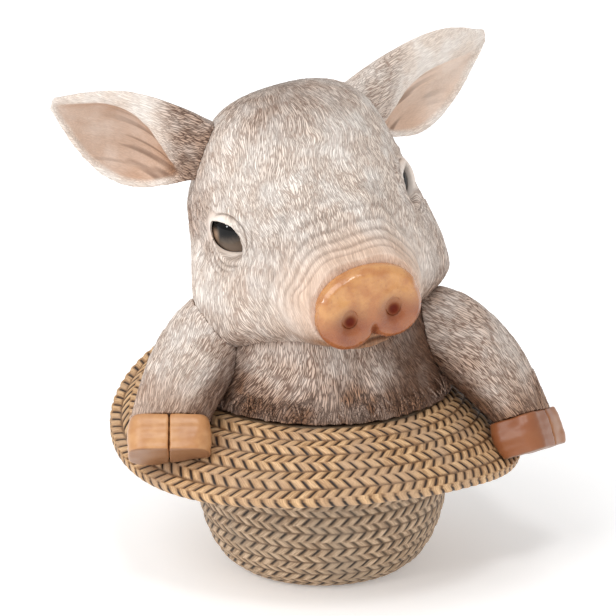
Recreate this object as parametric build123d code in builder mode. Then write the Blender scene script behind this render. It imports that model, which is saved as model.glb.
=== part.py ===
"""Pig peeping out of an upturned straw hat, a cast and hand-painted resin ornament.

The hat stands on the flat top of its crown, so its opening is uppermost and the brim droops where
the pig's trotters press on it. The pig is made of castings that plug together with a glue gap: a
trunk that fills the hat, a head on its neck, two ears, two forelegs and four claws. The eyes are
glossy domes in sockets behind almond-shaped lids, and the snout pad is a glossy disc.

+Z is up and -Y is the front. The origin is the centre of the felt pad, on the surface that the
ornament stands on. Left and right are the viewer's.
"""

import os
from math import cos, pi, radians, sin

from build123d import *

# Fits and overruns, in millimetres.
glue_gap = 0.15
seat_gap = 0.5
cut_overrun = 30.0

# Hat.
felt_thickness = 1.2
felt_radius = 30.0
base_radius = 33.0
crown_radius = 53.0
crown_round_height = 44.0
crown_height = 77.0
crown_wall = 4.5
crown_rows = 7
crown_row_bulge = 0.9
brim_radius = 88.0
brim_thickness = 4.5
brim_bow = 2.2
brim_rows = 5
brim_row_bulge = 1.1
brim_stations = 8  # steps round each half of the brim

# The droop of the brim's edge under the opening, and how it waves round the hat. The edge also
# lies a little to the left of the crown.
brim_offset = 2.7
brim_droop = 15.8
brim_tilt_right = 4.4
brim_tilt_front = 10.7
brim_saddle = 6.3
brim_twist = 4.0
# The trotter on the right presses the edge further down, near its own angle.
brim_dip = 3.0
brim_dip_angle = -6.0
brim_dip_spread = 42.0

# Trunk and neck. The trunk swells over the crown by these lengths at its sides and front.
trunk_depth_in_hat = 32.0
trunk_height = 60.0
trunk_side_swell = 2.5
trunk_front_swell = 1.5
trunk_lean = 4.0
# (height, half width, half depth, lean to the front) as shares of the trunk's own lengths.
trunk_shares = (
    (0.0, 1.0, 1.0, 0.0),
    (0.12, 0.965, 0.95, 0.0),
    (0.4, 0.87, 0.85, 0.3),
    (0.7, 0.74, 0.74, 0.7),
    (1.0, 0.56, 0.58, 1.0),
)

# Head. It looks to the right and leans over a little, about its own centre.
head_right = -5.9
head_front = 6.3
head_over_neck = 24.8
head_yaw = 21.0
head_roll = 10.0
head_reach_back = 53.0
head_reach_front = 52.0
head_half_width = 55.5
head_top = 48.0
head_bottom = 59.0
# (place, half width, level of the widest line, top, bottom, temple) as shares of the lengths
# above. The place is a share of the reach on its own side, the level a share of the top, and the
# temple, half way from the widest line to the top, a share of the half width.
skull_shares = (
    (-1.0, 0.16, 0.0, 0.1, -0.15, 0.87),
    (-0.95, 0.4, -0.05, 0.32, -0.4, 0.87),
    (-0.8, 0.66, -0.2, 0.6, -0.66, 0.87),
    (-0.5, 0.86, -0.55, 0.86, -0.88, 0.86),
    (-0.15, 0.98, -0.86, 1.0, -1.0, 0.84),
    (0.2, 0.95, -0.88, 0.9, -1.0, 0.76),
    (0.45, 0.78, -0.76, 0.56, -0.965, 0.77),
    (0.68, 0.58, -0.667, 0.08, -0.91, 0.84),
    (0.86, 0.48, -0.626, -0.15, -0.87, 0.86),
    (1.0, 0.45, -0.606, -0.21, -0.836, 0.87),
)
# The crest of a section, as shares of its temple's half width and of its height.
crest_width_share = 0.64
crest_height_share = 0.905

# Snout pad.
snout_drop = 30.0
snout_lift = 3.0
snout_half_width = 22.0
snout_half_height = 14.2
snout_lobe_side = 13.5
snout_lobe_drop = 15.5
snout_notch_drop = 12.2
snout_notch_round = 3.0
snout_thickness = 6.5
snout_bevel = 2.0
snout_peg_radius = 6.0
snout_peg_length = 8.0
nostril_side = 9.8
nostril_drop = 1.8
nostril_half_width = 3.4
nostril_half_height = 4.4
nostril_depth = 4.5

# Eyes, sockets and lids.
eye_radius = 11.5
eye_flat = 3.5
eye_side = 32.1
eye_front = 1.0
eye_drop = 3.0
eye_yaw = 43.0
lid_thickness = 2.2
lid_slit_length = 20.5
lid_slit_height = 12.5
lid_slant = 41.0

# Ears.
ear_length = 71.0
ear_half_width = 22.0
ear_depth = 15.0
ear_hollow = 11.5
ear_sag = 4.0
ear_lip = 2.2
ear_peg_radius = 4.0
ear_peg_length = 9.0
ear_peg_reach = 10.0
# Where an ear's root is, as shares of the head's half width, reach to the back and top.
ear_root_shares = (0.6, 0.27, 0.5)
# (place, half width, depth, hollow, sag) along an ear, as shares.
ear_shares = (
    (0.0, 0.55, 1.0, 0.05, 0.0),
    (0.2, 0.82, 1.05, 0.5, 0.5),
    (0.42, 1.0, 1.0, 0.98, 1.0),
    (0.62, 0.9, 0.82, 0.8, 0.8),
    (0.85, 0.5, 0.5, 0.38, 0.3),
    (1.0, 0.12, 0.22, 0.08, 0.0),
)
# How far an ear's upper edge folds over its hollow at each of those places, as shares of the width
# between the lips there, and how far the fold swells.
left_fold_shares = (0.79, 0.71, 0.31, 0.16, 0.19, 0.2)
right_fold_shares = (0.79, 0.74, 0.43, 0.42, 0.6, 0.6)
ear_fold_swell = 5.0
# The most that a hollow's depth is, as a share of half its width, so that the ear's wall stays thick.
ear_round_share = 0.7
# Directions (side, front, up) in the head's frame.
left_ear_direction = (-0.82, -0.28, 0.5)
right_ear_direction = (0.95, -0.28, 0.13)
ear_facing_side = 0.4
ear_facing_front = 0.85
ear_facing_up = -0.1

# Forelegs.
leg_half_width = 18.5
leg_half_depth = 16.5
leg_swell_out_share = 0.5
leg_peg_radius = 6.0
leg_peg_length = 9.0
leg_peg_reach = 24.0
leg_peg_drop = 9.0
leg_peg_front = 12.0
# Where a shoulder is, as shares of the trunk's half width, half depth and height.
left_shoulder_shares = (-0.6, 0.0, 0.46)
right_shoulder_shares = (0.7, 0.0, 0.46)
# (place, swell, half width, half depth) along a leg, as shares of its length and half sizes.
leg_shares = (
    (0.0, 0.0, 0.88, 0.92),
    (0.21, 0.11, 0.95, 1.0),
    (0.49, 0.12, 1.0, 1.0),
    (0.79, 0.06, 0.95, 0.85),
    (1.0, 0.0, 0.9, 0.67),
)

# Trotters. The toe's middle stands over the brim at this angle from +X and share of the brim's
# width, by a share of the trotter's half depth, and the toe points down along its own direction.
trotter_height = 16.0
trotter_half_width = 16.8
trotter_half_depth = 11.0
trotter_round = 6.5
trotter_cleft = 1.0
left_trotter_angle = -137.0
left_trotter_share = 0.91
left_stand_share = 1.0
left_toe_direction = (0.0, -0.63, -0.77)
left_toe_yaw = 0.0
right_trotter_angle = -13.0
right_trotter_share = 1.17
right_stand_share = 0.56
right_toe_direction = (0.28, -0.364, -0.879)
right_toe_yaw = 66.0
# (place, size) from the coronet to the toe, as shares.
trotter_shares = ((0.0, 0.97), (0.35, 1.03), (1.0, 1.0))


def polar(radius, angle, height):
    """The point at that radius, angle from +X in degrees and height."""
    return Vector(radius * cos(radians(angle)), radius * sin(radians(angle)), height)


def upright_plane(angle):
    """The plane through the hat's axis whose X is the radius at that angle and whose Y is up."""
    return Plane(origin=(0, 0, 0), x_dir=polar(1, angle, 0), z_dir=polar(1, angle - 90, 0))


def brim_reach(angle):
    """The radius of the brim's edge at that angle."""
    return brim_radius - brim_offset * cos(radians(angle))


def edge_drop(angle):
    """How far the brim's edge lies under the opening at that angle."""
    turn = radians(angle)
    tilt = brim_tilt_right * cos(turn) - brim_tilt_front * sin(turn)
    wave = brim_saddle * cos(2 * turn) + brim_twist * sin(2 * turn)
    from_dip = min(abs(angle - brim_dip_angle - full_turn) for full_turn in (0, 360))
    dip = brim_dip * cos(pi / 2 * min(from_dip / brim_dip_spread, 1)) ** 2
    return brim_droop + tilt + wave + dip


def brim_guide(angle):
    """The bowed line down the brim at that angle, as an arc in the plane of radius and height."""
    root = Vector(crown_radius, opening_level)
    edge = Vector(brim_reach(angle), opening_level - edge_drop(angle))
    middle = (root + edge) / 2 + Vector(0, brim_bow)
    return ThreePointArc(root, middle, edge, mode=Mode.PRIVATE)


def ridged(guide, rows, bulge, side, lift=0):
    """Points along a guide, lifted off it on the given side, with a ridge in each row's middle."""
    points = []
    for half_row in range(2 * rows + 1):
        place = half_row / (2 * rows)
        run = guide % place
        height = lift + bulge * (half_row % 2)
        points.append(guide @ place + Vector(-run.Y, run.X) * height * side)
    return points


def brim_half(first_angle, bulge, lift, thickness):
    """Half of the brim, as a loft round the hat through profiles on its upright planes."""
    profiles = []
    for station in range(brim_stations + 1):
        angle = first_angle + 180 * station / brim_stations
        top = ridged(brim_guide(angle), brim_rows, bulge, 1, lift)
        inner_top = Vector(crown_radius - crown_wall, top[0].Y)
        outer_low = top[-1] - Vector(brim_thickness / 2, thickness)
        rim = top[-1] + Vector(lift, -brim_thickness / 2)
        with BuildSketch(upright_plane(angle)) as profile:
            with BuildLine():
                Polyline(inner_top, *top, rim, outer_low, inner_top - Vector(0, thickness), close=True)
            make_face()
        profiles.append(profile.sketch)
    with BuildPart() as half:
        loft(sections=profiles)
    return half.part


def ellipse_section(centre, x_direction, normal, half_width, half_depth):
    """An elliptical section across a trunk or limb."""
    with BuildSketch(Plane(origin=centre, x_dir=x_direction, z_dir=normal)) as section:
        Ellipse(half_width, half_depth)
    return section.sketch


def trunk_form(grow):
    """The part of the trunk over the hat's opening, grown all round."""
    sections = []
    for height, width, depth, lean in trunk_shares:
        centre = Vector(0, -lean * trunk_lean, opening_level + height * (trunk_height + grow))
        half_width = width * trunk_half_width + grow
        half_depth = depth * trunk_half_depth + grow
        sections.append(ellipse_section(centre, (1, 0, 0), (0, 0, 1), half_width, half_depth))
    with BuildPart() as form:
        loft(sections=sections)
    return form.part


def in_head(side, front, up):
    """A point given in the head's frame."""
    return head_plane.from_local_coords((side, up, front))


def head_direction(side, front, up):
    """A direction given in the head's frame."""
    return (in_head(side, front, up) - head_centre).normalized()


def skull_section(plane, half_width, level, above, below, temple):
    """An egg-shaped section of the head, widest at its level and squarer over it."""
    temple_width = temple * half_width
    crest_width = crest_width_share * temple_width
    temple_up = level + above / 2
    crest_up = level + crest_height_share * above
    with BuildSketch(plane) as section:
        with BuildLine():
            Spline(
                (half_width, level),
                (temple_width, temple_up),
                (crest_width, crest_up),
                (0, level + above),
                (-crest_width, crest_up),
                (-temple_width, temple_up),
                (-half_width, level),
                tangents=((0, 1), (0, -1)),
            )
            EllipticalCenterArc((0, level), half_width, below, 180, arc_size=180)
        make_face()
    return section.sketch


def skull_form(grow):
    """The head without its sockets, as a loft through egg-shaped sections."""
    sections = []
    for place, width, level, top, bottom, temple in skull_shares:
        reach = head_reach_front if place > 0 else head_reach_back
        plane = head_plane.offset(place * (reach + grow))
        level_up = level * head_top
        half_width = width * head_half_width + grow
        above = top * head_top - level_up + grow
        below = level_up - bottom * head_bottom + grow
        sections.append(skull_section(plane, half_width, level_up, above, below, temple))
    with BuildPart() as form:
        loft(sections=sections)
    return form.part


def eye_plane(side):
    """The plane through an eye's centre that faces out of its lids, with X along the lids' slit,
    which slants down to the snout. side is -1 or 1."""
    turn = radians(eye_yaw)
    slant = radians(lid_slant)
    facing = head_direction(side * sin(turn), cos(turn), 0)
    to_snout = head_direction(-side * cos(turn), sin(turn), 0)
    down = head_direction(0, 0, -1)
    return Plane(
        origin=in_head(side * eye_side, eye_front, -eye_drop),
        x_dir=to_snout * cos(slant) + down * sin(slant),
        z_dir=facing,
    )


def dome(side, radius, flat):
    """The cap of a ball about an eye's centre, whose flat back lies that far in front of it."""
    with BuildPart() as form:
        with Locations(eye_plane(side)):
            Sphere(radius)
        split(bisect_by=eye_plane(side).offset(flat), keep=Keep.TOP)
    return form.part


def lid_slit(side):
    """The almond-shaped prism that opens a pair of lids."""
    half_length = lid_slit_length / 2
    half_height = lid_slit_height / 2
    with BuildPart() as slit:
        with BuildSketch(eye_plane(side)):
            with BuildLine():
                ThreePointArc((-half_length, 0), (0, half_height), (half_length, 0))
                ThreePointArc((half_length, 0), (0, -half_height), (-half_length, 0))
            make_face()
        extrude(amount=cut_overrun)
    return slit.part


def ear_root(side):
    """The middle of an ear's root, inside the head."""
    out, back, up = ear_root_shares
    return in_head(side * out * head_half_width, -back * head_reach_back, up * head_top)


def ear_axes(side, direction):
    """The way that an ear points, the way that its hollow faces, and the way across it."""
    along = head_direction(*direction)
    facing = head_direction(side * ear_facing_side, ear_facing_front, ear_facing_up)
    across = facing.cross(along).normalized()
    return along, along.cross(across), across


def ear_form(side, direction, fold_shares):
    """An ear as a loft through crescents that open towards its hollow, under a folded upper edge."""
    along, _, across = ear_axes(side, direction)
    upward = across * side
    sections = []
    for (place, width, depth, hollow, sag), fold in zip(ear_shares, fold_shares):
        half_width = width * ear_half_width
        lip = min(ear_lip, half_width / 2)
        fold_edge = (half_width - lip) * (1 - 2 * fold)
        hollow_middle = (fold_edge + lip - half_width) / 2
        hollow_reach = fold_edge - hollow_middle
        hollow_depth = min(hollow * ear_hollow, ear_round_share * hollow_reach)
        fold_middle = (half_width + fold_edge) / 2
        swell = fold * width * ear_fold_swell
        middle = ear_root(side) + along * place * ear_length - upward * sag * ear_sag
        with BuildSketch(Plane(origin=middle, x_dir=upward, z_dir=along * side)) as section:
            with BuildLine():
                ThreePointArc((-half_width, 0), (0, -depth * ear_depth), (half_width, 0))
                ThreePointArc((half_width, 0), (fold_middle, swell), (fold_edge, 0))
                ThreePointArc(
                    (fold_edge, 0), (hollow_middle, -hollow_depth), (lip - half_width, 0)
                )
                Line((lip - half_width, 0), (-half_width, 0))
            make_face()
        sections.append(section.sketch)
    with BuildPart() as form:
        loft(sections=sections)
    return form.part


def peg(start, direction, radius, length):
    """A round peg, or the hole for one."""
    with BuildPart() as form:
        with BuildSketch(Plane(origin=start, z_dir=direction)):
            Circle(radius)
        extrude(amount=length)
    return form.part


def ear_peg(side, direction, grow):
    """The peg at an ear's root, which runs on into the ear, or the hole for it."""
    along, facing, _ = ear_axes(side, direction)
    start = ear_root(side) + along * ear_peg_reach - facing * ear_depth / 2
    return peg(start, -along, ear_peg_radius + grow, ear_peg_reach + ear_peg_length + grow)


def shoulder_point(shares):
    """A shoulder's place in the trunk."""
    side, front, height = shares
    return Vector(
        side * trunk_half_width, -front * trunk_half_depth, opening_level + height * trunk_height
    )


def leg_peg(shoulder, side, grow):
    """The peg from a foreleg into the trunk, or the hole for it."""
    start = shoulder + Vector(side * leg_peg_reach, -leg_peg_front, -leg_peg_drop)
    return peg(start, (-side, 0, 0), leg_peg_radius + grow, leg_peg_reach + leg_peg_length + grow)


def toe_centre(angle, share, stand):
    """The middle of a toe, which stands over the brim by a share of the trotter's half depth."""
    radius = crown_radius + share * (brim_reach(angle) - crown_radius)
    on_brim = brim_guide(angle) @ min(share, 1)
    return polar(radius, angle, on_brim.Y + stand * trotter_half_depth)


def toe_axes(direction, yaw):
    """The toe's own direction, the way that its front wall faces, and across the claws."""
    down = Vector(*direction).normalized()
    front = Vector(sin(radians(yaw)), -cos(radians(yaw)), 0)
    front = (front - down * front.dot(down)).normalized()
    return down, front, front.cross(down)


def trotter_form(toe, direction, yaw):
    """Both claws of a trotter in one piece, before the cleft and the seat are cut."""
    down, front, across = toe_axes(direction, yaw)
    sections = []
    for place, size in trotter_shares:
        centre = toe - down * trotter_height * (1 - place)
        with BuildSketch(Plane(origin=centre, x_dir=across, z_dir=down)) as section:
            RectangleRounded(
                2 * size * trotter_half_width, 2 * size * trotter_half_depth, size * trotter_round
            )
        sections.append(section.sketch)
    with BuildPart() as form:
        loft(sections=sections)
    return form.part


def leg_form(shoulder, toe, direction, yaw, side):
    """A foreleg as a loft through ellipses from its shoulder to its coronet."""
    down, front, across = toe_axes(direction, yaw)
    run = toe - down * (trotter_height + glue_gap) - shoulder
    swell_direction = Vector(side * leg_swell_out_share, 0, 1).normalized()
    centres = [
        shoulder + run * place + swell_direction * swell * run.length
        for place, swell, _, _ in leg_shares
    ]
    sections = []
    for index, (place, _, width, depth) in enumerate(leg_shares):
        before = centres[max(index - 1, 0)]
        after = centres[min(index + 1, len(centres) - 1)]
        normal = (after - before).normalized() * (1 - place) + down * place
        sections.append(
            ellipse_section(
                centres[index], across, normal, width * leg_half_width, depth * leg_half_depth
            )
        )
    with BuildPart() as form:
        loft(sections=sections)
    return form.part


def save(piece, name):
    """Labels a finished piece and writes its file."""
    piece.part.label = name
    export_step(piece.part, f"parts/{name}.step")


os.makedirs("parts", exist_ok=True)

opening_level = felt_thickness + crown_height
neck_level = opening_level + trunk_height
trunk_half_width = crown_radius + trunk_side_swell
trunk_half_depth = crown_radius + trunk_front_swell

# The head's own frame: X to its side, Y up and Z out of the snout.
head_centre = Vector(head_right, -head_front, neck_level + head_over_neck)
head_forward = Vector(sin(radians(head_yaw)), -cos(radians(head_yaw)), 0)
head_level = Vector(cos(radians(head_yaw)), sin(radians(head_yaw)), 0)
head_side = head_level * cos(radians(head_roll)) + Vector(0, 0, sin(radians(head_roll)))
head_plane = Plane(origin=head_centre, x_dir=head_side, z_dir=head_forward)
snout_plane = Plane(
    origin=in_head(0, head_reach_front + glue_gap, -snout_drop), x_dir=head_side, z_dir=head_forward
)

left_toe = toe_centre(left_trotter_angle, left_trotter_share, left_stand_share)
right_toe = toe_centre(right_trotter_angle, right_trotter_share, right_stand_share)
left_shoulder = shoulder_point(left_shoulder_shares)
right_shoulder = shoulder_point(right_shoulder_shares)
ears = (
    ("ear_left", -1, left_ear_direction, left_fold_shares),
    ("ear_right", 1, right_ear_direction, right_fold_shares),
)
legs = (
    ("left", left_shoulder, left_toe, left_toe_direction, left_toe_yaw, -1),
    ("right", right_shoulder, right_toe, right_toe_direction, right_toe_yaw, 1),
)

# Crown of the hat, a bowl with a ridge for each row of plait.
with BuildPart() as hat_crown:
    with BuildSketch(Plane.XZ):
        with BuildLine():
            side_centre = (base_radius, felt_thickness + crown_round_height)
            inner_radius = crown_radius - crown_wall
            floor_level = felt_thickness + crown_wall
            guide = EllipticalCenterArc(
                side_centre,
                crown_radius - base_radius,
                crown_round_height,
                270,
                arc_size=90,
                mode=Mode.PRIVATE,
            )
            outside = ridged(guide, crown_rows, crown_row_bulge, -1)
            Polyline(
                (0, floor_level),
                (0, felt_thickness),
                *outside,
                (crown_radius, opening_level),
                (inner_radius, opening_level),
                (inner_radius, felt_thickness + crown_round_height),
                (base_radius, floor_level),
                close=True,
            )
        make_face()
    revolve(axis=Axis.Z)
save(hat_crown, "hat_crown")

# Brim of the hat, which waves round the crown and slips over it.
brim_halves = [
    brim_half(first_angle, brim_row_bulge, 0, brim_thickness) for first_angle in (0, 180)
]
with BuildPart() as hat_brim:
    add(brim_halves)
    with Locations((0, 0, opening_level / 2)):
        Cylinder(crown_radius + glue_gap, 2 * opening_level, mode=Mode.SUBTRACT)
save(hat_brim, "hat_brim")

# What rests on the brim is cut to a smooth copy of it, over the tops of its ridges.
seat_lift = brim_row_bulge + seat_gap
seat_halves = [
    brim_half(first_angle, 0, seat_lift, brim_thickness + 2 * trotter_height)
    for first_angle in (0, 180)
]

# Felt pad under the crown.
with BuildPart() as felt_pad:
    with BuildSketch():
        Circle(felt_radius)
    extrude(amount=felt_thickness)
save(felt_pad, "felt_pad")

# Trunk, which fills the top of the hat and narrows to the neck.
trunk_body = trunk_form(0)
leg_holes = [leg_peg(leg[1], leg[5], glue_gap) for leg in legs]
with BuildPart() as trunk:
    add(trunk_body)
    add(seat_halves, mode=Mode.SUBTRACT)
    with BuildSketch(Plane.XY.offset(opening_level + seat_lift)):
        Circle(crown_radius - crown_wall - glue_gap)
    extrude(amount=-(trunk_depth_in_hat + seat_lift))
    add(leg_holes, mode=Mode.SUBTRACT)
save(trunk, "trunk")

# Head, with its neck socket, eye sockets and the holes for the ears and the snout pad.
skull = skull_form(0)
lids = [dome(side, eye_radius + glue_gap + lid_thickness, 0) for side in (-1, 1)]
head_holes = [dome(side, eye_radius + glue_gap, eye_flat - glue_gap) for side in (-1, 1)]
head_holes += [lid_slit(side) for side in (-1, 1)]
head_holes += [ear_peg(side, direction, glue_gap) for _, side, direction, _ in ears]
head_holes.append(
    peg(snout_plane.origin, -head_forward, snout_peg_radius + glue_gap, snout_peg_length + 2 * glue_gap)
)
head_holes.append(trunk_form(glue_gap))
with BuildPart() as head:
    add(skull)
    add(lids)
    for hole in head_holes:
        add(hole, mode=Mode.SUBTRACT)
save(head, "head")

# Snout pad, a disc with two lobes under its nostrils and a peg behind.
with BuildPart() as snout_pad:
    with BuildSketch(snout_plane) as disc:
        with BuildLine():
            widest_left = (-snout_half_width, snout_lift)
            widest_right = (snout_half_width, snout_lift)
            notch = (0, -snout_notch_drop)
            EllipticalCenterArc(
                (0, snout_lift), snout_half_width, snout_half_height, 0, arc_size=180
            )
            ThreePointArc(widest_left, (-snout_lobe_side, -snout_lobe_drop), notch)
            ThreePointArc(notch, (snout_lobe_side, -snout_lobe_drop), widest_right)
        make_face()
        fillet(disc.vertices().sort_by_distance(notch)[0], snout_notch_round)
    extrude(amount=snout_thickness)
    front_face = snout_pad.faces().sort_by(Axis(snout_plane.origin, head_forward))[-1]
    chamfer(front_face.edges(), snout_bevel)
    with BuildSketch(snout_plane.offset(snout_thickness)):
        with Locations((-nostril_side, -nostril_drop), (nostril_side, -nostril_drop)):
            Ellipse(nostril_half_width, nostril_half_height)
    extrude(amount=-nostril_depth, mode=Mode.SUBTRACT)
    with BuildSketch(snout_plane):
        Circle(snout_peg_radius)
    extrude(amount=-snout_peg_length)
save(snout_pad, "snout_pad")

# Eyes, glossy domes that fill their sockets.
for name, side in (("eye_left", -1), ("eye_right", 1)):
    eye_form = dome(side, eye_radius, eye_flat)
    with BuildPart() as eye:
        add(eye_form)
    save(eye, name)

# Ears, cut to sit on the head.
skull_seat = skull_form(glue_gap)
for name, side, direction, fold_shares in ears:
    ear_body = ear_form(side, direction, fold_shares)
    ear_root_peg = ear_peg(side, direction, 0)
    with BuildPart() as ear:
        add(ear_body)
        add(skull_seat, mode=Mode.SUBTRACT)
        add(ear_root_peg)
    save(ear, name)

# Forelegs and their claws, cut to sit against the trunk and head and over the brim.
trunk_seat = trunk_form(glue_gap)
for name, shoulder, toe, direction, yaw, side in legs:
    leg_body = leg_form(shoulder, toe, direction, yaw, side)
    shoulder_peg = leg_peg(shoulder, side, 0)
    with BuildPart() as leg:
        add(leg_body)
        add(trunk_seat, mode=Mode.SUBTRACT)
        add(skull_seat, mode=Mode.SUBTRACT)
        add(seat_halves, mode=Mode.SUBTRACT)
        add(shoulder_peg)
    save(leg, f"foreleg_{name}")

    trotter = trotter_form(toe, direction, yaw)
    cleft = Plane(origin=toe, z_dir=toe_axes(direction, yaw)[2])
    for claw_name, claw_side in (("inner", -side), ("outer", side)):
        keep = Keep.TOP if claw_side > 0 else Keep.BOTTOM
        with BuildPart() as claw:
            add(trotter)
            split(bisect_by=cleft.offset(claw_side * trotter_cleft / 2), keep=keep)
            add(seat_halves, mode=Mode.SUBTRACT)
        save(claw, f"{name}_{claw_name}_claw")
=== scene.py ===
"""Looks for the pig in the upturned straw hat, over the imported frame.

Lengths are worked out in millimetres, as in part.py, and the meshes are made in metres.
"""

from math import cos, pi, radians, sin

import bpy
import numpy as np
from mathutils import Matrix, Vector


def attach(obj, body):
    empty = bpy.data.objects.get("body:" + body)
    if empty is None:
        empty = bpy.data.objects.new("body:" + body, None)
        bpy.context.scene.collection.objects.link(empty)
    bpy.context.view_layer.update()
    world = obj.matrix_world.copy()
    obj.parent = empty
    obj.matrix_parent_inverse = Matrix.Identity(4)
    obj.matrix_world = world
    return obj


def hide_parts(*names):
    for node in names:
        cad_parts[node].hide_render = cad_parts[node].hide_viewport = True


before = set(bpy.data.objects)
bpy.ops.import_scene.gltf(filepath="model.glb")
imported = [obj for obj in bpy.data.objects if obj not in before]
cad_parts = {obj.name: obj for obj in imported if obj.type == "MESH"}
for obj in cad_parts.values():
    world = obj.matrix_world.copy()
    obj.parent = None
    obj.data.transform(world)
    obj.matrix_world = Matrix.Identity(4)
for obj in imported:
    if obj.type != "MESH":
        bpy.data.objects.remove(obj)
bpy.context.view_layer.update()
mm = 0.001

# The hat's and the trunk's lengths, as in part.py.
opening_level = 78.2
felt_level = 1.2
base_radius = 33.0
crown_radius = 53.0
crown_round_height = 44.0
crown_wall = 4.5
crown_rows = 7
brim_radius = 88.0
brim_thickness = 4.5
brim_bow = 2.2
brim_rows = 5
brim_row_bulge = 1.1
trunk_height = 60.0

# The head's own frame, as in part.py: S to its side, F out of the snout and U up.
head_yaw = radians(21)
head_roll = radians(10)
head_centre = np.array((-5.9, -6.3, 163.0))
head_f = np.array((sin(head_yaw), -cos(head_yaw), 0))
head_s = np.array((cos(head_yaw) * cos(head_roll), sin(head_yaw) * cos(head_roll), sin(head_roll)))
head_u = np.cross(head_f, head_s)
left_ear_direction = (-0.82, -0.28, 0.5)
right_ear_direction = (0.95, -0.28, 0.13)

# The eyes' centres and the arcs that bound their slits, in the head's frame.
eye_aside = 32.1
eye_forward = 1.0
eye_down = 3.0
slit_round = 11.53
slit_half_length = 10.2
slit_centre = 5.28

# The snout pad and its nostrils, in the head's frame.
snout_half_width = 22.0
snout_half_height = 16.0
snout_down = 28.0
pad_back = 52.15
nostril_aside = 9.8
nostril_down = 31.8
nostril_half_width = 3.4
nostril_half_height = 4.4

# The plait of the hat.
strand_pitch = 5.5
row_width = 7.2

# How much longer than wide the painted strokes of the fur are.
stroke_stretch = 4.5


def unit(vector):
    """The vector or vectors made one long."""
    vector = np.asarray(vector, float)
    return vector / np.maximum(np.linalg.norm(vector, axis=-1, keepdims=True), 1e-9)


def step(low, high, value):
    """0 under low, 1 over high and smooth between them."""
    share = np.clip((value - low) / (high - low), 0, 1)
    return share * share * (3 - 2 * share)


def bell(value, width):
    """1 at zero, falling off over the width."""
    return np.exp(-((value / width) ** 2))


def hashed(seed, *cells):
    """Random numbers from 0 to 1, the same ones for the same whole-numbered cells."""
    mixed = np.int64(seed * 374761393)
    for cell, prime in zip(cells, (73856093, 19349663, 83492791)):
        mixed = mixed ^ (cell.astype(np.int64) * prime)
    mixed = (mixed ^ (mixed >> 13)) * 1274126177 & 0xFFFFFFFF
    mixed = (mixed ^ (mixed >> 15)) * 2246822519 & 0xFFFFFFFF
    return ((mixed >> 7) & 0xFFFFFF) / 0xFFFFFF


def noise(points, size, seed):
    """Smooth noise from -1 to 1 with lumps of that size."""
    scaled = points / size
    low = np.floor(scaled)
    part = scaled - low
    part = part * part * (3 - 2 * part)
    total = 0
    for corner in np.ndindex(2, 2, 2):
        weight = np.prod([part[:, i] if corner[i] else 1 - part[:, i] for i in range(3)], axis=0)
        total = total + weight * hashed(seed, *(low[:, i] + corner[i] for i in range(3)))
    return 2 * total - 1


def in_head(points):
    """Places in the head's frame: to its side, to the front and up."""
    offset = points - head_centre
    return offset @ head_s, offset @ head_f, offset @ head_u


def distance(side, front, up):
    """How far places are from the one that the coordinates are measured from."""
    return np.linalg.norm(np.stack([side, front, up], axis=-1), axis=-1)


def strokes_round(turn, along, radius, stretch=stroke_stretch):
    """Coordinates for strokes that run along a form, without a seam round it."""
    return np.stack([radius * np.cos(turn), radius * np.sin(turn), along / stretch], axis=-1)


def from_head(side, front, up):
    """The place or direction that has those coordinates in the head's frame, before its centre."""
    return side * head_s + front * head_f + up * head_u


def relief(turn, along, radius, width, length, seed):
    """How high the overlapping strokes of a fur stand, from 0 to 1. turn is the angle round the
    form and along the length down it, on which the strokes lie."""
    count = max(round(2 * pi * radius / width), 3)
    x = turn / (2 * pi) * count
    y = along / length
    best = np.zeros(len(x))
    for column in (-1, 0, 1):
        cell_x = np.floor(x) + column
        wrapped = np.mod(cell_x, count)
        shift = hashed(seed, wrapped, 0 * wrapped)
        for row in (-1, 0, 1):
            cell_y = np.floor(y + shift) + row
            from_x = x - cell_x - 0.5 - 0.5 * (hashed(seed + 1, wrapped, cell_y) - 0.5)
            from_y = y + shift - cell_y - 0.5 - 0.5 * (hashed(seed + 2, wrapped, cell_y) - 0.5)
            from_root = np.clip(from_y / 1.3 + 0.5, 0, 1)
            half = 0.62 * (1 - from_root) ** 0.7 * step(0, 0.12, from_root) + 1e-3
            crest = np.clip(1 - (from_x / half) ** 2, 0, 1)
            high = crest * (1 - 0.55 * from_root) * (0.7 + 0.3 * hashed(seed + 3, wrapped, cell_y))
            best = np.maximum(best, high)
    return best


def new_object(name, mesh):
    """An object in the scene for that mesh."""
    made = bpy.data.objects.new(name, mesh)
    bpy.context.scene.collection.objects.link(made)
    return made


def shade_smooth(mesh):
    """Shades every face of a mesh smooth."""
    mesh.polygons.foreach_set("use_smooth", np.ones(len(mesh.polygons), bool))
    mesh.update()


def read_points(mesh, what="co"):
    """A mesh's points in millimetres, or its normals."""
    values = np.zeros(len(mesh.vertices) * 3, np.float32)
    mesh.vertices.foreach_get(what, values)
    values = values.reshape(-1, 3).astype(float)
    return values / mm if what == "co" else values


def write_points(mesh, points):
    """Moves a mesh's points to those places in millimetres."""
    mesh.vertices.foreach_set("co", (points * mm).astype(np.float32).ravel())
    mesh.update()


def store(mesh, **values):
    """Keeps a number or a vector for each point, which the materials read by name."""
    for name, value in values.items():
        flat = np.asarray(value, np.float32)
        if flat.ndim == 2:
            mesh.attributes.new(name, "FLOAT_VECTOR", "POINT").data.foreach_set("vector", flat.ravel())
        else:
            mesh.attributes.new(name, "FLOAT", "POINT").data.foreach_set("value", flat)


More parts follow.
